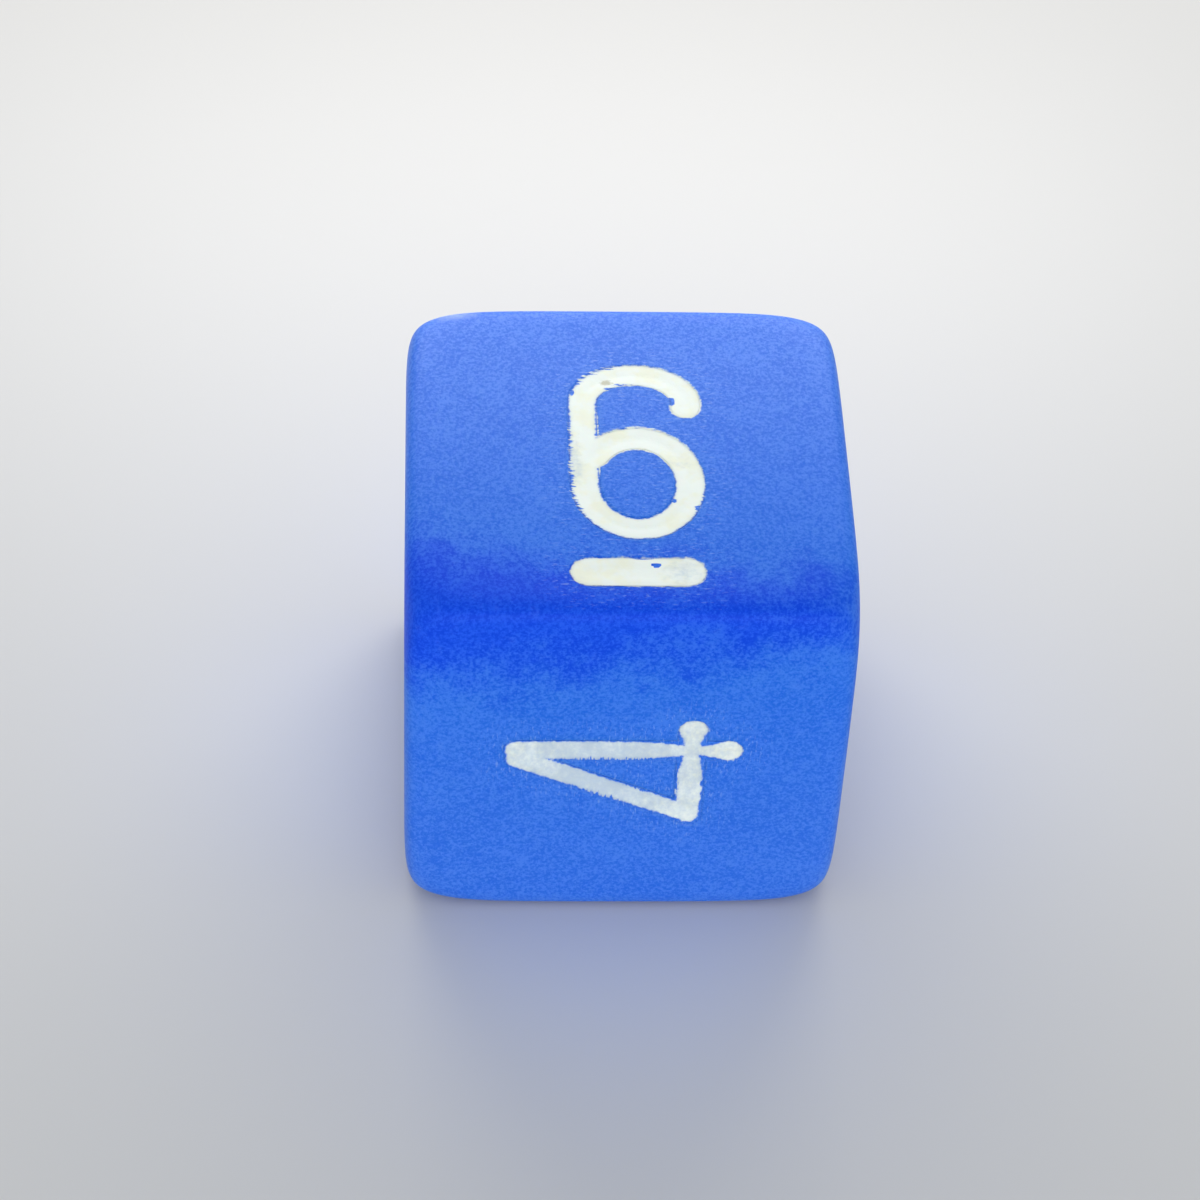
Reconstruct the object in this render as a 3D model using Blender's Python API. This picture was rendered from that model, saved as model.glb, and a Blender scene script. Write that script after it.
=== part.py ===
"""A six-sided die moulded in one piece, with a painted numeral engraved in each face.

The die's centre is the origin. +Z is the face with the 6, -Y the face with the 4.
Opposite faces add up to seven, and 1, 2, 3 run anticlockwise round their corner.
"""

from math import cos, pi, radians, sin

import bmesh
import bpy
from mathutils import Matrix, Vector

MM = 0.001

# The moulded block
DIE_SIZE = 16.0 * MM
HALF = DIE_SIZE / 2
CORNER_REACH = 13.05 * MM  # from the centre to the ball that the tumbling cuts the corners back to
CORNER_BLEND = 27  # the higher, the tighter the bend where a corner meets a face
EDGE_POWER = 26  # the higher, the tighter the rounding along an edge
FACE_TRIM = 0.0015  # share by which the faces are ground back until they are flat
DIVISIONS = 18  # facets across a face before the flat ones are joined

# The engraving: a round-nosed cutter that runs along each stroke
STROKE_HALF_WIDTH = 0.53 * MM
BAR_HALF_WIDTH = 0.70 * MM
GROOVE_DEPTH = 0.40 * MM
ARC_STEP = radians(15)
SECTION_SIDES = 12
END_RINGS = 3

# The paint in it
PAINT_GAP = 0.03 * MM
PAINT_RECESS = 0.05 * MM
SLAB_DEPTH = 1.0 * MM

RESIN = {"colour": (0.045, 0.165, 0.78, 1.0), "roughness": 0.55}
PAINT = {"colour": (0.86, 0.89, 0.80, 1.0), "roughness": 0.60}

# Which way each numeral faces, and where its top points
FACES = {
    1: ("-Z", "+Y"),
    2: ("-X", "+Z"),
    3: ("+Y", "+X"),
    4: ("-Y", "-X"),
    5: ("+X", "+Y"),
    6: ("+Z", "+Y"),
}
AXES = {
    "+X": Vector((1, 0, 0)),
    "-X": Vector((-1, 0, 0)),
    "+Y": Vector((0, 1, 0)),
    "-Y": Vector((0, -1, 0)),
    "+Z": Vector((0, 0, 1)),
    "-Z": Vector((0, 0, -1)),
}


def clear_scene():
    for obj in list(bpy.data.objects):
        bpy.data.objects.remove(obj)


def material(name, colour, roughness):
    made = bpy.data.materials.new(name)
    made.use_nodes = True
    shader = made.node_tree.nodes["Principled BSDF"]
    shader.inputs["Base Color"].default_value = colour
    shader.inputs["Roughness"].default_value = roughness
    shader.inputs["Metallic"].default_value = 0.0
    return made


def object_from(form, name, parent):
    """Turns a bmesh into an object under parent."""
    bmesh.ops.recalc_face_normals(form, faces=form.faces)
    mesh = bpy.data.meshes.new(name)
    form.to_mesh(mesh)
    form.free()
    obj = bpy.data.objects.new(name, mesh)
    bpy.context.scene.collection.objects.link(obj)
    obj.parent = parent
    return obj


def make_helper(obj):
    obj.hide_render = True
    obj.display_type = "WIRE"


def add_boolean(obj, operation, other):
    cut = obj.modifiers.new(f"{operation.lower()} {other.name}", "BOOLEAN")
    cut.operation = operation
    cut.solver = "EXACT"
    cut.use_self = True
    cut.object = other


# ---- the block -------------------------------------------------------------


def block_point(direction):
    """The block's surface in a direction: a cube with rounded edges, its corners cut back to a ball."""
    way = direction.normalized()
    power_sum = sum(abs(part) ** EDGE_POWER for part in way)
    cube_reach = HALF / power_sum ** (1 / EDGE_POWER)
    blended = cube_reach**-CORNER_BLEND + CORNER_REACH**-CORNER_BLEND
    point = way * (1 + FACE_TRIM) * blended ** (-1 / CORNER_BLEND)
    return Vector(max(-HALF, min(HALF, part)) for part in point)


def make_block(parent):
    form = bmesh.new()
    bmesh.ops.create_cube(form, size=2.0)
    bmesh.ops.subdivide_edges(form, edges=form.edges, cuts=DIVISIONS - 1, use_grid_fill=True)
    for vertex in form.verts:
        # Sine spacing sets the facets close together towards the edges, where the block bends.
        vertex.co = block_point(Vector(sin(part * pi / 2) for part in vertex.co))
    bmesh.ops.dissolve_limit(form, angle_limit=radians(0.01), verts=form.verts, edges=form.edges)
    return object_from(form, "die_body", parent)


# ---- the numerals' strokes, in millimetres on a face seen upright -----------


def arc(centre, radii, start, end):
    """Points on an ellipse from one angle to another, in degrees, anticlockwise from the right."""
    first, last = radians(start), radians(end)
    steps = max(1, round(abs(last - first) / ARC_STEP))
    angles = [first + (last - first) * i / steps for i in range(steps + 1)]
    return [(centre[0] + radii[0] * cos(a), centre[1] + radii[1] * sin(a)) for a in angles]


def numeral_one():
    return [[(0.35, 4.0), (0.35, -4.0)], [(0.2, 3.85), (-1.2, 2.55)]]


def numeral_two():
    return [
        arc((0.0, 2.1), (1.95, 1.95), 165, -32) + [(-1.85, -3.85)],
        [(-1.95, -4.05), (2.05, -4.05)],
    ]


def numeral_three():
    return [
        arc((-0.15, 2.1), (1.8, 1.95), 150, -90),
        arc((-0.15, -1.9), (2.15, 2.15), 84, -150),
    ]


def numeral_four():
    return [
        [(0.9, 3.95), (0.88, -3.6)],
        [(0.42, 3.9), (-2.5, -2.2)],
        [(-2.65, -2.3), (1.95, -2.3)],
    ]


def numeral_five():
    return [
        [(1.85, 4.05), (-1.25, 4.05)],
        [(-1.4, 3.95), (-1.62, 0.25)],
        arc((0.0, -1.55), (2.15, 2.5), 136, -150),
    ]


def numeral_six():
    # One stroke, which ends by running into its own left side.
    hook = arc((0.28, 2.6), (1.88, 1.5), -8, 180)
    bowl = arc((0.28, -1.55), (1.88, 2.3), 180, 505)
    return [hook + bowl]


def six_bar():
    return [[(-1.57, -5.97), (1.82, -5.97)]]


# ---- the cutter and the paint that fills its track ---------------------------


def nose_radius(half_width):
    """The radius of the round nose that cuts a groove of this half width to GROOVE_DEPTH."""
    return (half_width**2 + GROOVE_DEPTH**2) / (2 * GROOVE_DEPTH)


def direction_at(path, i):
    before = (path[i] - path[i - 1]).normalized() if i > 0 else Vector((0, 0))
    after = (path[i + 1] - path[i]).normalized() if i < len(path) - 1 else Vector((0, 0))
    return (before + after).normalized()


def add_ring(form, centre, side, radius, height):
    """One round section, upright over centre and square to the stroke; side points to its left."""
    ring = []
    for k in range(SECTION_SIDES):
        angle = 2 * pi * (k + 0.5) / SECTION_SIDES
        flat = centre + side * radius * cos(angle)
        ring.append(form.verts.new((flat.x, flat.y, height + radius * sin(angle))))
    return ring


def join_rings(form, first, second):
    for k in range(SECTION_SIDES):
        after = (k + 1) % SECTION_SIDES
        form.faces.new((first[k], first[after], second[after], second[k]))


def swept_ball(name, points, radius, height, parent):
    """What a ball of this radius sweeps along a stroke with its centre at this height over the face."""
    path = [Vector(point) * MM for point in points]
    last = len(path) - 1
    form = bmesh.new()
    rings, tips = [], []
    for i in range(len(path)):
        ahead = direction_at(path, i)
        side = Vector((-ahead.y, ahead.x))
        out = {0: -1, last: 1}.get(i, 0)
        # Each end closes with a half ball: rings that shrink to a point.
        swell = [90 * k / END_RINGS for k in range(END_RINGS)] if out else [0]
        end_rings = [
            add_ring(
                form,
                path[i] + ahead * out * radius * sin(radians(a)),
                side,
                radius * cos(radians(a)),
                height,
            )
            for a in swell
        ]
        rings += end_rings[::-1] if out < 0 else end_rings
        if out:
            tip = path[i] + ahead * out * radius
            tips.append(form.verts.new((tip.x, tip.y, height)))
    for first, second in zip(rings, rings[1:]):
        join_rings(form, first, second)
    for tip, ring in zip(tips, (rings[0], rings[-1])):
        for k in range(SECTION_SIDES):
            form.faces.new((tip, ring[k], ring[(k + 1) % SECTION_SIDES]))
    return object_from(form, name, parent)


def make_slab(name, parent):
    """What lies below the paint's own surface."""
    form = bmesh.new()
    size = (DIE_SIZE, DIE_SIZE, SLAB_DEPTH)
    middle = Matrix.Translation((0, 0, -PAINT_RECESS - SLAB_DEPTH / 2))
    bmesh.ops.create_cube(form, size=1.0, matrix=middle @ Matrix.Diagonal((*size, 1)))
    slab = object_from(form, name, parent)
    make_helper(slab)
    return slab


def engrave(block, strokes, half_width, name, face, paint, slab):
    """Cuts a mark's strokes into the block, and lays its paint in the track."""
    radius = nose_radius(half_width)
    height = radius - GROOVE_DEPTH
    coats = []
    for count, stroke in enumerate(strokes, 1):
        track = swept_ball(f"{name}_track_{count}", stroke, radius, height, face)
        make_helper(track)
        add_boolean(block, "DIFFERENCE", track)
        coats.append(swept_ball(f"{name}_coat_{count}", stroke, radius - PAINT_GAP, height, face))
    fill = coats[0]
    fill.name = name
    for coat in coats[1:]:
        make_helper(coat)
        add_boolean(fill, "UNION", coat)
    add_boolean(fill, "INTERSECT", slab)
    fill.data.materials.append(paint)


def face_frame(number, parent):
    """An empty on a face: X to the numeral's right, Y to its top, Z outwards."""
    outward, upward = (AXES[name] for name in FACES[number])
    frame = bpy.data.objects.new(f"face_{number}", None)
    bpy.context.scene.collection.objects.link(frame)
    frame.parent = parent
    turn = Matrix((upward.cross(outward), upward, outward)).transposed()
    frame.matrix_local = Matrix.Translation(outward * HALF) @ turn.to_4x4()
    return frame


def main():
    clear_scene()
    resin = material("frosted_blue_resin", **RESIN)
    paint = material("white_numeral_paint", **PAINT)
    die = bpy.data.objects.new("die", None)
    bpy.context.scene.collection.objects.link(die)

    block = make_block(die)
    block.data.materials.append(resin)
    numerals = {
        1: numeral_one(),
        2: numeral_two(),
        3: numeral_three(),
        4: numeral_four(),
        5: numeral_five(),
        6: numeral_six(),
    }
    for number, strokes in numerals.items():
        face = face_frame(number, die)
        slab = make_slab(f"slab_{number}", face)
        engrave(block, strokes, STROKE_HALF_WIDTH, f"numeral_{number}_paint", face, paint, slab)
        if number == 6:
            engrave(block, six_bar(), BAR_HALF_WIDTH, "six_underline_paint", face, paint, slab)


main()
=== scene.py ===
"""A frosted blue resin die with a white numeral engraved and painted in each face.

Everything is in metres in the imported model's frame. The die's centre is the origin,
+Z is the face with the 6 and -Y the face with the 4. Numerals are drawn in
millimetres on a face seen upright, from the face's centre.
"""

from math import cos, pi, radians, sin

import bpy
import numpy as np
from mathutils import Matrix, Vector, noise


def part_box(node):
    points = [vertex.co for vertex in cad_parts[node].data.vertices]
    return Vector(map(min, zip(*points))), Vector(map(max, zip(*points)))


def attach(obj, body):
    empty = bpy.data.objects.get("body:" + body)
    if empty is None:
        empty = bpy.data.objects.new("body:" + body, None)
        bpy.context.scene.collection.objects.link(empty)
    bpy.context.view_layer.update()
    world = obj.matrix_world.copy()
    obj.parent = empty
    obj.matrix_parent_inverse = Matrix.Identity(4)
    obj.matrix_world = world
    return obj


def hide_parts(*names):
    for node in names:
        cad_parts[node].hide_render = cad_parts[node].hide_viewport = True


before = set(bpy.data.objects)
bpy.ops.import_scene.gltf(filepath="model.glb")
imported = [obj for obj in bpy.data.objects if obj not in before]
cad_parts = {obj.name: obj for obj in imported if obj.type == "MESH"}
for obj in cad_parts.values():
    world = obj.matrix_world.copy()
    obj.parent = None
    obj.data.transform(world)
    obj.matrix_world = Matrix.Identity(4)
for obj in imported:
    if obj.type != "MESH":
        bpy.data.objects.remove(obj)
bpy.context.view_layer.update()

MM = 0.001
LOW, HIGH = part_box("die_body")
HALF = (HIGH.x - LOW.x) / 2

# The moulded block
CORNER_REACH = 13.05 * MM  # from the centre to the ball that the tumbling cuts the corners back to
CORNER_BLEND = 27  # the higher, the sharper the line where the cube meets the ball
EDGE_POWER = 26  # the higher, the sharper the edges
FACE_TRIM = 0.0015  # the share by which the block is too large before its faces are cut flat
CUTS_ACROSS = 71
EDGE_CROWDING = 0.40 * pi  # how far the sine that crowds the cuts towards the edges is followed
BLOCK_SMOOTHING = radians(28)

# The engraved tracks
STROKE_HALF_WIDTH = 0.53 * MM
BAR_HALF_WIDTH = 0.70 * MM
GROOVE_DEPTH = 0.40 * MM
RIM_WIDTH = 0.06 * MM  # how far the track's worn lip reaches past its wall
RIM_SLOPE = radians(32)
ARC_STEP = radians(6)
END_RINGS = 7
END_TURN = radians(88)  # how far round its ball end a bar is followed before its flat cap
BEVEL_STEPS = 10  # which give a bar 24 sides
WELD = 0.001 * MM  # points nearer each other than this become one

# The paint in them
PAINT_GAP = 0.008 * MM
PAINT_RECESS = 0.03 * MM
PAINT_SAG = 0.035 * MM  # how far the dried paint sinks along the middle of a stroke
SAG_REACH = 0.5  # how far in from its edge the paint has sunk the whole way, in millimetres
RIPPLE = 0.012 * MM
RIPPLE_SIZE = 0.5 * MM
PAINT_CELL = 0.08 * MM
PAINT_SMOOTHING = radians(40)
SLAB_DEPTH = 0.6 * MM
SLAB_MARGIN = 0.2 * MM
FAR_FROM_PAINT = 3.0  # as far from the paint as is told apart, in millimetres
FACE_REACH = 7.7  # how far a face reaches from its middle, in millimetres, for the paint's sake
FACE_DEPTH = 0.65  # how far below a face the points that belong to it can lie, in millimetres
NICK_DEPTH = 0.25  # how far outside the paint a nick's middle counts as, in millimetres
NO_NICK = -9.0  # so far inside the paint that it changes nothing
FACE_SPACING = 10  # keeps the patterns of the six faces apart

# Which way each numeral faces, and where its top points
AXES = {
    "+X": Vector((1, 0, 0)),
    "-X": Vector((-1, 0, 0)),
    "+Y": Vector((0, 1, 0)),
    "-Y": Vector((0, -1, 0)),
    "+Z": Vector((0, 0, 1)),
    "-Z": Vector((0, 0, -1)),
}
FACES = {
    1: ("-Z", "+Y"),
    2: ("-X", "+Z"),
    3: ("+Y", "+X"),
    4: ("-Y", "-X"),
    5: ("+X", "+Y"),
    6: ("+Z", "+Y"),
}


# ---- the numerals ----------------------------------------------------------


def arc(centre, radii, start, end):
    """Points on an ellipse from one angle to another, in degrees, anticlockwise from the right."""
    first, last = radians(start), radians(end)
    steps = max(1, round(abs(last - first) / ARC_STEP))
    angles = [first + (last - first) * i / steps for i in range(steps + 1)]
    return [(centre[0] + radii[0] * cos(a), centre[1] + radii[1] * sin(a)) for a in angles]


# Each stroke is its path, and how wide its paint spreads to each side at shares of its length.
EVEN = ((0, 0.52), (0.3, 0.49), (0.7, 0.51), (1, 0.50))

STROKES = {
    "numeral_1_paint": [
        ([(0.35, 4.0), (0.35, -4.0)], EVEN),
        ([(0.2, 3.85), (-1.2, 2.55)], EVEN),
    ],
    "numeral_2_paint": [
        (arc((0.0, 2.1), (1.95, 1.95), 165, -32) + [(-1.85, -3.85)], EVEN),
        ([(-1.95, -4.05), (2.05, -4.05)], EVEN),
    ],
    "numeral_3_paint": [
        (arc((-0.15, 2.1), (1.8, 1.95), 150, -90), EVEN),
        (arc((-0.15, -1.9), (2.15, 2.15), 84, -150), EVEN),
    ],
    "numeral_4_paint": [
        (
            [(0.9, 3.95), (0.88, -3.6)],
            ((0, 0.44), (0.35, 0.47), (0.6, 0.44), (0.74, 0.31), (0.84, 0.22), (0.9, 0.27), (1, 0.52)),
        ),
        ([(0.42, 3.9), (-2.5, -2.2)], ((0, 0.44), (0.5, 0.43), (1, 0.40))),
        (
            [(-2.65, -2.3), (1.95, -2.3)],
            ((0, 0.36), (0.3, 0.45), (0.52, 0.42), (0.7, 0.27), (0.86, 0.28), (1, 0.53)),
        ),
    ],
    "numeral_5_paint": [
        ([(1.85, 4.05), (-1.25, 4.05)], EVEN),
        ([(-1.4, 3.95), (-1.62, 0.25)], EVEN),
        (arc((0.0, -1.55), (2.15, 2.5), 136, -150), EVEN),
    ],
    "numeral_6_paint": [
        (
            arc((0.28, 2.6), (1.88, 1.5), -8, 180) + arc((0.28, -1.55), (1.88, 2.3), 180, 300),
            ((0, 0.58), (0.08, 0.56), (0.2, 0.54), (0.33, 0.49), (0.45, 0.45), (0.92, 0.47), (1, 0.5)),
        ),
        (
            arc((0.28, -1.55), (1.88, 2.3), 282, 505),
            ((0, 0.47), (0.35, 0.50), (0.75, 0.60), (1, 0.56)),
        ),
    ],
    "six_underline_paint": [([(-1.57, -5.97), (1.82, -5.97)], ((0, 0.66), (0.4, 0.72), (1, 0.70)))],
}

# Flaws in the paint, each an oval on its mark: middle, reach to each side, and how strong it is.
# They are nicks, places where the paint is thin, places where it was wiped out sideways, and grime.
NICKS = {
    "numeral_1_paint": [((0.75, -1.6), (0.10, 0.16), 1)],
    "numeral_2_paint": [((1.5, 3.7), (0.12, 0.09), 1), ((-0.9, -2.6), (0.08, 0.12), 1)],
    "numeral_3_paint": [((1.45, 2.6), (0.09, 0.13), 1), ((2.4, -2.3), (0.12, 0.10), 1)],
    "numeral_4_paint": [((-2.2, 0.25), (0.08, 0.14), 1), ((-0.9, -2.76), (0.20, 0.08), 1)],
    "numeral_5_paint": [((-1.0, 3.62), (0.14, 0.08), 1), ((2.5, -1.2), (0.10, 0.12), 1)],
    "numeral_6_paint": [
        ((-1.95, 3.15), (0.10, 0.16), 1),
        ((1.55, -2.45), (0.10, 0.11), 1),
        ((2.38, -2.75), (0.16, 0.10), 1),
        ((1.66, 2.72), (0.16, 0.24), 1),
        ((1.36, 2.98), (0.12, 0.10), 1),
    ],
    "six_underline_paint": [((0.78, -5.62), (0.24, 0.13), 1), ((0.35, -5.30), (0.40, 0.07), 1)],
}
THIN_PATCHES = {
    "numeral_1_paint": [((0.35, -3.2), (0.9, 1.2), 0.6)],
    "numeral_2_paint": [((0.4, -1.2), (1.2, 1.4), 0.5)],
    "numeral_3_paint": [((0.3, 0.2), (1.3, 0.8), 0.6)],
    "numeral_4_paint": [((0.8, -2.3), (1.0, 1.1), 0.5), ((-0.3, 0.8), (9.0, 9.0), 0.68)],
    "numeral_5_paint": [((-1.5, 1.4), (0.8, 1.4), 0.5)],
    "numeral_6_paint": [((-1.9, -0.4), (0.5, 2.4), 0.35), ((1.9, -0.6), (0.7, 0.9), 0.2)],
    "six_underline_paint": [((1.75, -5.95), (1.3, 1.1), 0.42)],
}
WIPED = {
    "numeral_1_paint": [((-0.6, 1.0), (0.6, 2.5), 1.2)],
    "numeral_2_paint": [((1.9, 1.8), (0.8, 1.6), 1.2), ((-0.4, -3.9), (1.6, 0.6), 1)],
    "numeral_3_paint": [((1.9, -2.2), (0.8, 1.4), 1.2), ((0.2, 0.6), (0.8, 0.5), 1)],
    "numeral_4_paint": [
        ((0.45, 0.8), (0.4, 3.0), 0.7),
        ((-1.4, 0.9), (0.7, 2.6), 0.8),
        ((-1.0, -1.8), (1.2, 0.4), 0.6),
    ],
    "numeral_5_paint": [((-1.8, 2.0), (0.6, 1.6), 1.2), ((2.1, -2.0), (0.7, 1.2), 1)],
    "numeral_6_paint": [
        ((-2.1, -1.4), (0.9, 3.2), 1.6),
        ((-0.8, 3.9), (1.7, 0.9), 1.2),
        ((0.3, 1.0), (1.4, 0.5), 0.9),
        ((2.3, -2.6), (0.7, 1.2), 0.5),
        ((-1.1, 0.3), (0.4, 1.2), 0.8),
    ],
    "six_underline_paint": [],
}
GRIME = {"numeral_6_paint": [((-0.72, 3.72), (0.46, 0.30), 1)]}
# Where the mould's feed was trimmed off, on the face with the 6
MOULD_MARK = {"numeral_6_paint": [((-6.2, 7.45), (1.3, 0.55), 1)]}


def number_of(name):
    """The number on the face that a painted mark belongs to."""
    return 6 if name == "six_underline_paint" else int(name.split("_")[1])


def half_width_of(name):
    """Half the width of a mark's tracks."""
    return BAR_HALF_WIDTH if name == "six_underline_paint" else STROKE_HALF_WIDTH


def face_matrix(number):
    """From a face's own frame, X to the numeral's right and Z outwards, to the die's."""
    outward, upward = (AXES[axis] for axis in FACES[number])
    turn = Matrix((upward.cross(outward), upward, outward)).transposed()
    return Matrix.Translation(outward * HALF) @ turn.to_4x4()


# ---- working by hand -------------------------------------------------------


def select_only(*objects):
    bpy.ops.object.select_all(action="DESELECT")
    for obj in objects:
        obj.select_set(True)
    bpy.context.view_layer.objects.active = objects[0]


def settle(obj, matrix):
    """Moves an object by a matrix and leaves the move in its mesh."""
    obj.matrix_world = matrix @ obj.matrix_world
    select_only(obj)
    bpy.ops.object.transform_apply(location=True, rotation=True, scale=True)


def boolean(piece, operation, tool):
    """Cuts, joins or trims the piece by the tool, and throws the tool away."""
    select_only(piece)
    bpy.ops.object.modifier_add(type="BOOLEAN")
    cut = piece.modifiers[-1]
    cut.operation = operation
    cut.solver = "MANIFOLD"
    cut.object = tool
    bpy.ops.object.modifier_apply(modifier=cut.name)
    bpy.data.objects.remove(tool)


def smooth(piece, angle):
    """Shades the piece smooth, but for edges sharper than the angle."""
    select_only(piece)
    bpy.ops.object.shade_smooth_by_angle(angle=angle)


# ---- the block -------------------------------------------------------------


def block_point(direction):
    """The block's surface in a direction: a cube with rounded edges, its corners cut back to a ball."""
    way = direction.normalized()
    power_sum = sum(abs(part) ** EDGE_POWER for part in way)
    cube_reach = HALF / power_sum ** (1 / EDGE_POWER)
    blended = cube_reach**-CORNER_BLEND + CORNER_REACH**-CORNER_BLEND
    point = way * (1 + FACE_TRIM) * blended ** (-1 / CORNER_BLEND)
    return Vector(max(-HALF, min(HALF, part)) for part in point)


def make_block():
    """A finely cut cube, each of its points moved out to the block's surface."""
    bpy.ops.object.select_all(action="DESELECT")
    bpy.ops.mesh.primitive_cube_add(size=2)
    block = bpy.context.object
    block.name = "engraved_block"
    bpy.ops.object.mode_set(mode="EDIT")
    bpy.ops.mesh.subdivide(number_cuts=CUTS_ACROSS)
    bpy.ops.object.mode_set(mode="OBJECT")
    for vertex in block.data.vertices:
        vertex.co = block_point(Vector(sin(part * EDGE_CROWDING) for part in vertex.co))
    return block


# ---- the tracks ------------------------------------------------------------


def nose(half_width, slope=None):
    """Radius and height of a ball that cuts a track this wide, by its depth or its lip's slope."""
    if slope is None:
        radius = (half_width**2 + GROOVE_DEPTH**2) / (2 * GROOVE_DEPTH)
        return radius, radius - GROOVE_DEPTH
    radius = half_width / sin(slope)
    return radius, radius * cos(slope)


def round_bar(path, radius, height):
    """A round bar with ball ends along a stroke, its middle at this height over the face."""
    points = [Vector(point) * MM for point in path]
    swell = [END_TURN * k / END_RINGS for k in range(1, END_RINGS + 1)]
    back = (points[0] - points[1]).normalized()
    ahead = (points[-1] - points[-2]).normalized()
    rings = [(points[0] + back * radius * sin(a), cos(a)) for a in reversed(swell)]
    rings += [(point, 1.0) for point in points]
    rings += [(points[-1] + ahead * radius * sin(a), cos(a)) for a in swell]

    bpy.ops.object.select_all(action="DESELECT")
    bpy.ops.curve.primitive_nurbs_path_add()
    bar = bpy.context.object
    curve = bar.data
    curve.splines.clear()
    spline = curve.splines.new("POLY")
    spline.points.add(len(rings) - 1)
    for point, (place, share) in zip(spline.points, rings):
        point.co = (place.x, place.y, height, 1)
        point.radius = share
    curve.twist_mode = "Z_UP"
    curve.bevel_depth = radius
    curve.bevel_resolution = BEVEL_STEPS
    curve.use_fill_caps = True
    bpy.ops.object.convert(target="MESH")
    bpy.ops.object.mode_set(mode="EDIT")
    bpy.ops.mesh.select_all(action="SELECT")
    bpy.ops.mesh.remove_doubles(threshold=WELD)
    bpy.ops.mesh.normals_make_consistent(inside=False)
    bpy.ops.object.mode_set(mode="OBJECT")
    return bpy.context.object


def engrave(block):
    """Cuts every track into the block, and then its worn lip."""
    for name, strokes in STROKES.items():
        half_width = half_width_of(name)
        lip = nose(half_width + RIM_WIDTH, RIM_SLOPE)
        for radius, height in (nose(half_width), lip):
            for path, _ in strokes:
                tool = round_bar(path, radius, height)
                settle(tool, face_matrix(number_of(name)))
                boolean(block, "DIFFERENCE", tool)


# ---- the paint -------------------------------------------------------------


def painted_runs(name):
    """Each straight run of a mark's strokes: its start, its end and the paint's half width at each."""
    starts, ends, first, last = [], [], [], []
    for path, spread in STROKES[name]:
        points = np.array(path, float)
        steps = np.linalg.norm(np.diff(points, axis=0), axis=1)
        shares = np.concatenate([[0], np.cumsum(steps)]) / steps.sum()
        marks, reaches = zip(*spread)
        stops = np.unique(np.concatenate([shares, marks]).round(4))
        points = np.column_stack([np.interp(stops, shares, side) for side in points.T])
        widths = np.interp(stops, marks, reaches)
        starts.append(points[:-1])
        ends.append(points[1:])
        first.append(widths[:-1])
        last.append(widths[1:])
    return tuple(np.concatenate(part) for part in (starts, ends, first, last))


def paint_edge(name, places):
    """How far places on a face are outside a mark's paint, in millimetres: less than 0 is inside."""
    starts, ends, first, last = painted_runs(name)
    runs = ends - starts
    along = ((places[:, None] - starts) * runs).sum(2) / (runs**2).sum(1)
    along = along.clip(0, 1)
    nearest = starts + along[..., None] * runs
    reach = np.linalg.norm(places[:, None] - nearest, axis=2)
    return (reach - (first + along * (last - first))).min(1)


def ovals(spots, places):
    """How deep places on a face lie in oval spots: a spot's strength in its middle, 0 past its rim."""
    depth = np.zeros(len(places))
    for middle, reach, strength in spots:
        share = np.linalg.norm((places - middle) / reach, axis=1)
        depth = np.maximum(depth, strength * (1 - share).clip(0, 1))
    return depth


def make_paint(name):
    """The paint of one mark: a slab with a sunken, uneven top, trimmed to the track."""
    radius, height = nose(half_width_of(name))
    bars, *others = (round_bar(path, radius - PAINT_GAP, height) for path, _ in STROKES[name])
    for other in others:
        boolean(bars, "UNION", other)
    corners = np.array([bars.matrix_world @ Vector(corner) for corner in bars.bound_box])
    low, high = corners.min(0), corners.max(0)
    size = high - low + SLAB_MARGIN

    bpy.ops.object.select_all(action="DESELECT")
    bpy.ops.mesh.primitive_grid_add(
        x_subdivisions=int(size[0] / PAINT_CELL),
        y_subdivisions=int(size[1] / PAINT_CELL),
        size=1,
        location=((low[0] + high[0]) / 2, (low[1] + high[1]) / 2, -SLAB_DEPTH),
    )
    paint = bpy.context.object
    paint.scale = (size[0], size[1], 1)
    bpy.ops.object.transform_apply(location=True, rotation=False, scale=True)
    bpy.ops.object.mode_set(mode="EDIT")
    bpy.ops.mesh.select_all(action="SELECT")
    bpy.ops.mesh.extrude_region_move(TRANSFORM_OT_translate={"value": (0, 0, SLAB_DEPTH)})
    bpy.ops.mesh.select_all(action="SELECT")
    bpy.ops.mesh.normals_make_consistent(inside=False)
    bpy.ops.object.mode_set(mode="OBJECT")

    top = [vertex for vertex in paint.data.vertices if vertex.co.z > -SLAB_DEPTH / 2]
    places = np.array([vertex.co.xy for vertex in top]) / MM
    inside = (-paint_edge(name, places) / SAG_REACH).clip(0, 1)
    for vertex, depth in zip(top, inside):
        ripple = noise.noise(Vector((vertex.co.x, vertex.co.y, number_of(name))) / RIPPLE_SIZE)
        vertex.co.z = -PAINT_RECESS - PAINT_SAG * depth**2 + RIPPLE * ripple

    boolean(paint, "INTERSECT", bars)
    paint.name = "white_" + name
    settle(paint, face_matrix(number_of(name)))
    return paint


# ---- where the paint lies, for the materials -------------------------------


def set_attribute(piece, name, values):
    """Stores a number, or a vector, for each vertex."""
    kind, key = ("FLOAT", "value") if values.ndim == 1 else ("FLOAT_VECTOR", "vector")
    attribute = piece.data.attributes.new(name, kind, "POINT")
    attribute.data.foreach_set(key, values.astype(np.float32).ravel())


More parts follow.
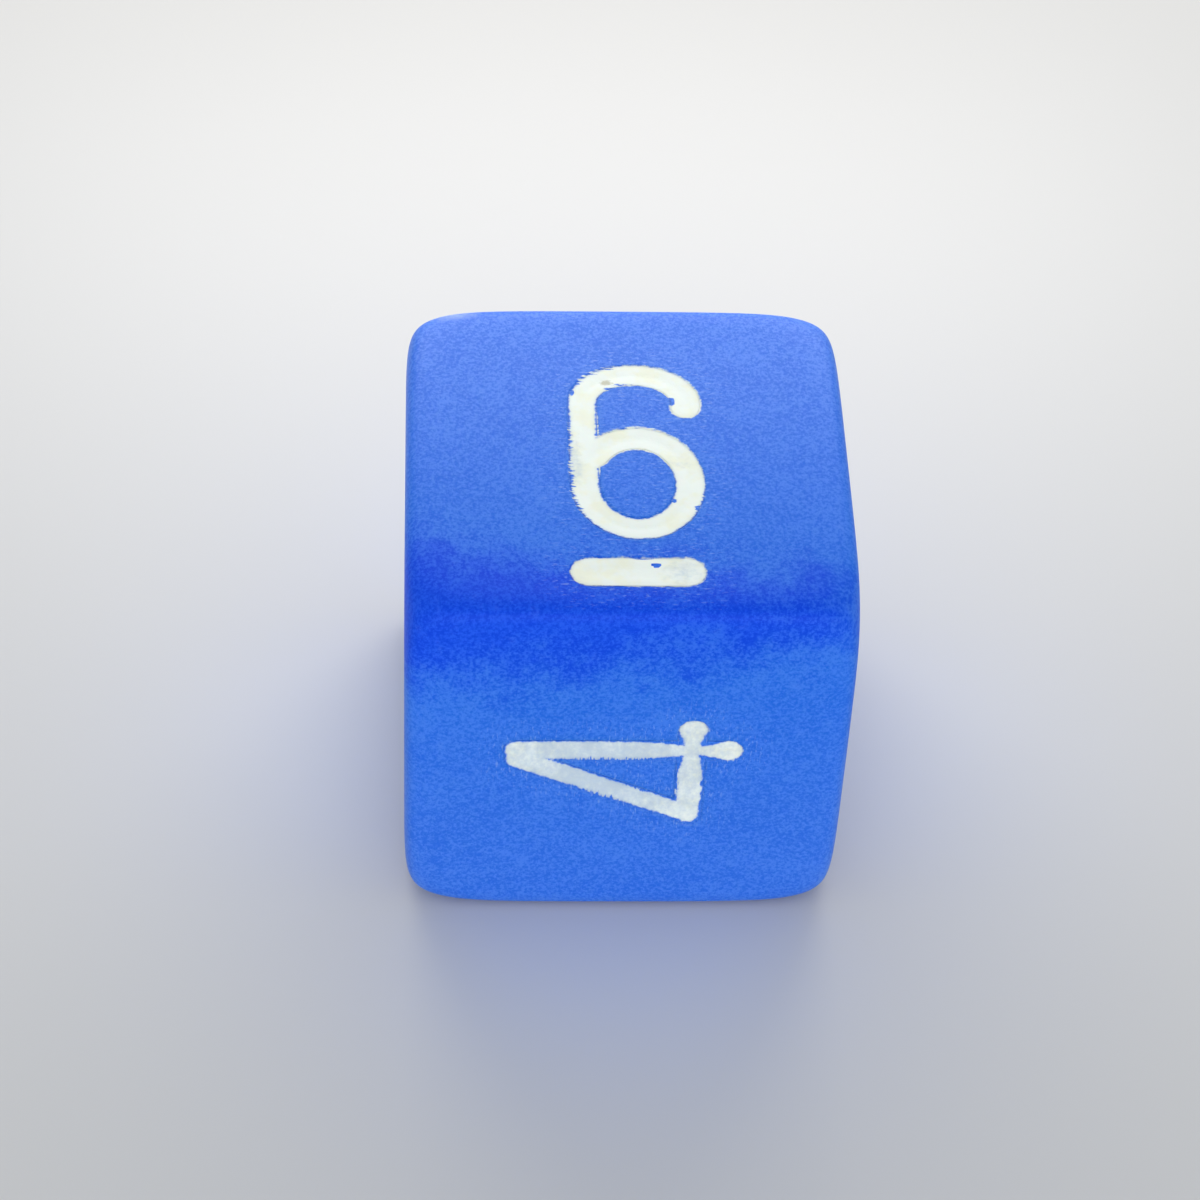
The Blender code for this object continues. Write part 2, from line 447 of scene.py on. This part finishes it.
def mark_faces(piece):
    """Gives each vertex its place on its face and how it lies to the paint, in millimetres."""
    vertices = piece.data.vertices
    points = np.zeros(len(vertices) * 3, np.float32)
    vertices.foreach_get("co", points)
    points = points.reshape(-1, 3)
    place = np.zeros_like(points)
    edge = np.full(len(points), FAR_FROM_PAINT)
    spots = {
        "paint_thin": THIN_PATCHES,
        "paint_wiped": WIPED,
        "paint_grime": GRIME,
        "mould_mark": MOULD_MARK,
    }
    depths = {key: np.zeros(len(points)) for key in spots}
    for name in STROKES:
        number = number_of(name)
        inverse = np.array(face_matrix(number).inverted())
        local = (points @ inverse[:3, :3].T + inverse[:3, 3]) / MM
        on_face = (local[:, 2] > -FACE_DEPTH) & (np.abs(local[:, :2]).max(1) < FACE_REACH)
        if not on_face.any():
            continue
        flat = local[on_face, :2]
        place[on_face] = np.column_stack([flat, np.full(len(flat), number * FACE_SPACING)])
        nicks = ovals(NICKS[name], flat)
        nick_edge = np.where(nicks > 0, NICK_DEPTH * nicks, NO_NICK)
        edge[on_face] = np.minimum(edge[on_face], np.maximum(paint_edge(name, flat), nick_edge))
        for key, marks in spots.items():
            depths[key][on_face] += ovals(marks.get(name, ()), flat)
    set_attribute(piece, "paint_edge", edge)
    set_attribute(piece, "face_place", place)
    for key, depth in depths.items():
        set_attribute(piece, key, depth)


# ---- materials -------------------------------------------------------------


class Value:
    """A number that varies over a surface, for use in sums."""

    def __init__(self, finish, socket):
        self.finish = finish
        self.socket = socket

    def __add__(self, other):
        return self.finish.sum("ADD", self, other)

    def __sub__(self, other):
        return self.finish.sum("SUBTRACT", self, other)

    def __rsub__(self, other):
        return self.finish.sum("SUBTRACT", other, self)

    def __mul__(self, other):
        return self.finish.sum("MULTIPLY", self, other)

    __radd__ = __add__
    __rmul__ = __mul__


class Finish:
    """The nodes of a material or of the studio's air."""

    def __init__(self, owner, shader="Principled BSDF"):
        owner.use_nodes = True
        self.nodes = owner.node_tree.nodes
        self.links = owner.node_tree.links
        self.shader = self.nodes[shader]

    def node(self, kind, settings=None, sockets=None, out=0):
        """Adds a node, with its settings first and then the values or links of its sockets."""
        made = self.nodes.new(kind)
        for key, value in (settings or {}).items():
            setattr(made, key, value)
        for key, value in (sockets or {}).items():
            self.plug(made.inputs[key], value)
        return Value(self, made.outputs[out])

    def plug(self, socket, value):
        if isinstance(value, Value):
            self.links.new(value.socket, socket)
        else:
            socket.default_value = value

    def sum(self, operation, first, second):
        return self.node("ShaderNodeMath", {"operation": operation}, {0: first, 1: second})

    def step(self, value, start, end, low=0.0, high=1.0):
        """Goes smoothly from low to high as value goes from start to end."""
        settings = {"interpolation_type": "SMOOTHSTEP", "clamp": True}
        sockets = {"Value": value, 1: start, 2: end, 3: low, 4: high}
        return self.node("ShaderNodeMapRange", settings, sockets)

    def mix(self, share, first, second):
        """Goes from the first colour to the second."""
        sockets = {0: share, 6: first, 7: second}
        return self.node("ShaderNodeMix", {"data_type": "RGBA"}, sockets, out=2)

    def stretched(self, place, factors):
        """A place, each of its parts multiplied: the larger the factor, the finer the pattern."""
        sockets = {0: place, 1: factors}
        return self.node("ShaderNodeVectorMath", {"operation": "MULTIPLY"}, sockets)

    def noise(self, place, scale, detail=2.0, roughness=0.5):
        sockets = {"Vector": place, "Scale": scale, "Detail": detail, "Roughness": roughness}
        return self.node("ShaderNodeTexNoise", None, sockets)

    def attribute(self, name, out):
        return self.node("ShaderNodeAttribute", {"attribute_name": name}, out=out)

    def bump(self, height, distance, strength):
        sockets = {"Height": height, "Distance": distance, "Strength": strength}
        return self.node("ShaderNodeBump", None, sockets)

    def set(self, **values):
        """Sets the shader's own sockets; an underscore in a name stands for a space."""
        for key, value in values.items():
            self.plug(self.shader.inputs[key.replace("_", " ")], value)


# The resin
DEEP_BLUE = (0.013, 0.142, 0.75, 1)
PALE_BLUE = (0.047, 0.206, 0.83, 1)
# Painted shade: the deeper blues of the band along the edge between the 6 and the 4, where that rounded
# edge reflects less light
SHADE_BAND_BLUE = (0.000, 0.062, 0.74, 1)
SHADE_BAND_PALE_BLUE = (0.010, 0.104, 0.84, 1)
TRIMMED_BLUE = (0.36, 0.48, 0.86, 1)
FLECK_BLUE = (0.26, 0.42, 0.88, 1)
CLOUD_SIZE = 2.2 * MM
MOTTLE_SIZE = 0.5 * MM
SPECKLE_SIZE = 0.12 * MM
SHADE_BAND_EDGE = 4.0 * MM  # how far from its middle the band of painted shade has faded out
SHADE_BAND_CORE = 0.4 * MM  # how far from its middle it is at its darkest
SHADE_BAND_DROP = 0.3 * MM  # how far below the edge its middle lies
SHADE_BAND_LEAN = 0.15  # how much nearer the edge it fades for each millimetre to the right
SHADE_BAND_WAVES = (5.0 * MM, 1.6 * MM, 2.2 * MM)  # how far cloud, mottle and speckle move its end
FLECK_REACH = 1.8  # how far from the paint its flecks are left in the grain, in millimetres
FLECK_STRETCH = (3.1, 11.0, 1)
FLECK_SHARE = 0.45  # how much of the resin's colour the flecks take over, and the trimmed feed
TRIMMED_SHARE = 0.55
FROST_START = 0.5 * MM  # between these distances from the band of painted shade the frost thickens
FROST_END = 15.0 * MM
FROST_LEAST = 0.14  # how thick it is there at either end
FROST_MOST = 0.70
GRAIN_HEIGHT = 0.012 * MM
GRAIN_STRENGTH = 0.6

# The paint
WHITE = (0.92, 0.98, 0.92, 1)
CREAM = (0.92, 0.95, 0.79, 1)
THIN_WHITE = (0.46, 0.58, 0.74, 1)
BROWN = (0.40, 0.34, 0.18, 1)
RAGGED_STRETCH = (3.6, 4.6, 1)
HAIR_STRETCH = (1.1, 9.0, 1)
RAGGED_REACH = 0.22  # the width of the band in which the paint's edge strays, in millimetres
HAIR_REACH = 0.8  # the same for its hairs where it was wiped
STRAY_HAIR_REACH = 0.04  # the same for its hairs everywhere
PATCH_STRETCH = 0.9
THIN_SHARE = 0.8  # how much of the paint's colour its thin places take over, its rim and its grime
RIM_SHARE = 0.2
GRIME_SHARE = 0.6

# Both
ROUGHNESS = 0.55
SHEEN = 0.06
RESIN_SCATTER = 0.35
PAINT_SCATTER = 0.1


def shade_band_distance(finish, place):
    """How far the surface is from the band of painted shade along the edge between the 6 and the 4."""
    middle = (0, -HALF, HALF - SHADE_BAND_DROP)
    sockets = {0: place, 1: middle}
    offset = finish.node("ShaderNodeVectorMath", {"operation": "SUBTRACT"}, sockets)
    across = finish.stretched(offset, (0, 1, 1))
    return finish.node("ShaderNodeVectorMath", {"operation": "LENGTH"}, {0: across}, out="Value")


def paint_flecks(finish):
    """How much of the surface near the paint is covered by the flecks that its wiping left."""
    near = finish.step(finish.attribute("paint_edge", "Fac"), FLECK_REACH, 0.0)
    place = finish.attribute("face_place", "Vector")
    flecks = finish.noise(finish.stretched(place, FLECK_STRETCH), 1.0, detail=2, roughness=0.6)
    return finish.step(flecks, 0.57, 0.68) * near


def resin_look(finish):
    """Cloudy blue resin, with painted shade along the edge between the 6 and the 4: its colour, the
    height of its grain and how thick its frosted skin is.
    """
    place = finish.node("ShaderNodeTexCoord", out="Object")
    cloud = finish.noise(place, 1 / CLOUD_SIZE, detail=4, roughness=0.6)
    mottle = finish.noise(place, 1 / MOTTLE_SIZE, detail=3, roughness=0.6)
    speckle = finish.noise(place, 1 / SPECKLE_SIZE, detail=2, roughness=0.7)
    share = finish.step(cloud * 0.20 + mottle * 0.15 + speckle * 0.65, 0.40, 0.60)

    distance = shade_band_distance(finish, place)
    lean = finish.node("ShaderNodeSeparateXYZ", None, {0: place}, out="X") * SHADE_BAND_LEAN
    wavy = distance + lean
    for pattern, reach in zip((cloud, mottle, speckle), SHADE_BAND_WAVES):
        wavy = wavy + (pattern - 0.5) * reach
    # Painted shade: a deeper blue band along the edge between the 6 and the 4, where that rounded edge
    # reflects less light
    shade_band = finish.step(wavy, SHADE_BAND_EDGE, SHADE_BAND_CORE)
    shade_band_blue = finish.mix(share, SHADE_BAND_BLUE, SHADE_BAND_PALE_BLUE)
    colour = finish.mix(shade_band, finish.mix(share, DEEP_BLUE, PALE_BLUE), shade_band_blue)

    trimmed = finish.attribute("mould_mark", "Fac") + (mottle - 0.5) * 0.8
    colour = finish.mix(finish.step(trimmed, 0.05, 0.95) * TRIMMED_SHARE, colour, TRIMMED_BLUE)
    colour = finish.mix(paint_flecks(finish) * FLECK_SHARE, colour, FLECK_BLUE)
    skin = finish.step(distance, FROST_START, FROST_END, FROST_LEAST, FROST_MOST)
    frost = skin * finish.step(speckle, 0.3, 0.7, 0.7, 1.2)
    return colour, speckle + mottle * 0.5, frost


def paint_look(finish):
    """White paint: its colour, how much of the surface it covers, and its ragged pattern."""
    edge = finish.attribute("paint_edge", "Fac")
    place = finish.attribute("face_place", "Vector")
    ragged = finish.noise(finish.stretched(place, RAGGED_STRETCH), 1.0, detail=4, roughness=0.65)
    hairs = finish.noise(finish.stretched(place, HAIR_STRETCH), 1.0, detail=3, roughness=0.7)
    patches = finish.noise(place, PATCH_STRETCH, detail=3, roughness=0.6)
    wiped = finish.step(finish.attribute("paint_wiped", "Fac"), 0.05, 0.6)
    hair_reach = wiped * HAIR_REACH + STRAY_HAIR_REACH
    reach = (ragged - 0.5) * RAGGED_REACH + (hairs - 0.5) * hair_reach
    cover = finish.step(edge + reach, 0.05, -0.04)

    colour = finish.mix(finish.step(patches, 0.42, 0.62), WHITE, CREAM)
    bare = finish.attribute("paint_thin", "Fac") + (patches - 0.5) * 0.6 + (ragged - 0.5) * 0.6
    rim = finish.step(edge + (patches - 0.5) * 0.2, -0.16, 0.02)
    thin = finish.step(bare, 0.10, 0.70) * THIN_SHARE + rim * RIM_SHARE
    colour = finish.mix(thin, colour, THIN_WHITE)
    grime = finish.attribute("paint_grime", "Fac") + (ragged - 0.5) * 1.2
    colour = finish.mix(finish.step(grime, 0.35, 0.70) * GRIME_SHARE, colour, BROWN)
    return colour, cover, ragged


def make_finish(name, scatter):
    """Resin with paint over it. Every piece has both, since the paint spreads past its tracks."""
    material = bpy.data.materials.new(name)
    finish = Finish(material)
    resin, grain, frost = resin_look(finish)
    paint, cover, ragged = paint_look(finish)
    bare = 1 - cover
    height = grain * bare + (ragged * 1.8 + 0.5) * cover
    finish.set(
        Base_Color=finish.mix(cover, resin, paint),
        Roughness=ROUGHNESS,
        Normal=finish.bump(height, GRAIN_HEIGHT, GRAIN_STRENGTH),
        Subsurface_Weight=scatter,
        Subsurface_Radius=(0.3, 0.5, 1.0),
        Subsurface_Scale=0.8 * MM,
        IOR=1.5,
        Specular_IOR_Level=SHEEN,
        Coat_Weight=frost * bare,
        Coat_Roughness=0.5,
    )
    return material


# ---- the studio ------------------------------------------------------------

FRONT_AIR = 0.665
BACK_AIR = 0.63
AIR_COLOUR = (0.90, 0.95, 1.0, 1)
FLOOR_COLOUR = (0.665, 0.652, 0.635, 1)
WARM_WHITE = (1.0, 0.965, 0.91)
PLAIN_WHITE = (1, 1, 1)
GLOW_BLUE = (0.10, 0.30, 1.0)
GLOW = 0.00024  # the light that the resin passes on to the floor beside it, in watts for each side
GLOW_SIZE = (0.012, 0.010)
GLOW_GAP = 0.4 * MM  # how far out from the side the glow starts
GLOW_DROP = 2 * MM  # how far below the side's middle
GLOW_SLOPE = 0.3  # how steeply down it is aimed

CAMERA_PLACE = Vector((-7.38, -97.35, 101.42)) * MM
CAMERA_AIM = Vector((-0.741, 0, 0.366)) * MM
CAMERA_ROLL = radians(3.04)
CAMERA_LENS = 112.92


def make_floor():
    bpy.ops.object.select_all(action="DESELECT")
    bpy.ops.mesh.primitive_plane_add(size=4, location=(0, 0, LOW.z))
    floor = bpy.context.object
    floor.name = "floor"
    material = bpy.data.materials.new("pale_floor")
    Finish(material).set(Base_Color=FLOOR_COLOUR, Roughness=0.7)
    floor.data.materials.append(material)


def make_light(name, place, aim, size, power, colour=PLAIN_WHITE):
    """A soft flat light, unseen by the camera, that faces its aim."""
    lamp = bpy.data.lights.new(name, "AREA")
    lamp.shape = "RECTANGLE"
    lamp.size, lamp.size_y = size
    lamp.energy = power
    lamp.color = colour
    light = bpy.data.objects.new(name, lamp)
    bpy.context.scene.collection.objects.link(light)
    light.location = place
    light.visible_camera = False
    light.rotation_euler = (Vector(aim) - light.location).to_track_quat("-Z", "Y").to_euler()


def make_lights():
    """A card close behind the die, one over the floor behind it, one in front, and the resin's glow."""
    make_light(
        "back_card", place=(0, 0.038, 0.028), aim=(0, 0, 0.002), size=(0.06, 0.024), power=0.0115
    )
    make_light(
        "floor_card",
        place=(0, 0.10, 0.05),
        aim=(0, 0.0999, 0),
        size=(0.14, 0.05),
        power=0.062,
        colour=WARM_WHITE,
    )
    make_light("front_card", place=(0, -0.30, 0.05), aim=(0, 0, 0), size=(0.40, 0.12), power=0.42)
    for side in ("-X", "+X", "-Y", "+Y"):
        way = AXES[side]
        place = way * (HALF + GLOW_GAP) - Vector((0, 0, GLOW_DROP))
        aim = place + way - Vector((0, 0, GLOW_SLOPE))
        make_light("resin_glow", place, aim, GLOW_SIZE, GLOW, GLOW_BLUE)


def make_air():
    """Soft light from all round, a little stronger from the front."""
    world = bpy.data.worlds.new("studio_air")
    bpy.context.scene.world = world
    air = Finish(world, "Background")
    way = air.node("ShaderNodeTexCoord", out="Generated")
    back = air.node("ShaderNodeSeparateXYZ", None, {0: way}, out="Y")
    air.set(Color=AIR_COLOUR, Strength=air.step(back, -0.75, 0.75, FRONT_AIR, BACK_AIR))


def make_camera():
    lens = bpy.data.cameras.new("camera")
    lens.lens = CAMERA_LENS
    lens.sensor_width = 36
    lens.clip_start = 0.01
    camera = bpy.data.objects.new("camera", lens)
    bpy.context.scene.collection.objects.link(camera)
    camera.location = CAMERA_PLACE
    look = (CAMERA_AIM - camera.location).to_track_quat("-Z", "Y")
    roll = Matrix.Rotation(CAMERA_ROLL, 3, "Z").to_quaternion()
    camera.rotation_mode = "QUATERNION"
    camera.rotation_quaternion = look @ roll
    bpy.context.scene.camera = camera


# ---- the whole -------------------------------------------------------------


def model_die():
    """Every piece of the die, by the CAD node that it stands for."""
    block = make_block()
    engrave(block)
    smooth(block, BLOCK_SMOOTHING)
    pieces = {"die_body": block}
    for name in STROKES:
        pieces[name] = make_paint(name)
        smooth(pieces[name], PAINT_SMOOTHING)
    for piece in pieces.values():
        mark_faces(piece)
    return pieces


def dress(pieces):
    """Gives each piece its finish, which lets more light into the resin than into the paint."""
    resin = make_finish("frosted_blue_resin", RESIN_SCATTER)
    white = make_finish("white_numeral_paint", PAINT_SCATTER)
    for node, piece in pieces.items():
        piece.data.materials.clear()
        finish = resin if node == "die_body" else white
        piece.data.materials.append(finish)


def hand_over(pieces):
    """Hangs each piece on the body that it rides on and hides the CAD part that it stands for."""
    for node, piece in pieces.items():
        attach(piece, "root")
        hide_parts(node)
        "frosted_blue_resin" if node == "die_body" else "white_numeral_paint"


def set_studio():
    make_floor()
    make_air()
    make_lights()
    make_camera()
    bpy.context.scene.view_settings.view_transform = "Standard"


def main():
    pieces = model_die()
    dress(pieces)
    hand_over(pieces)
    set_studio()


main()
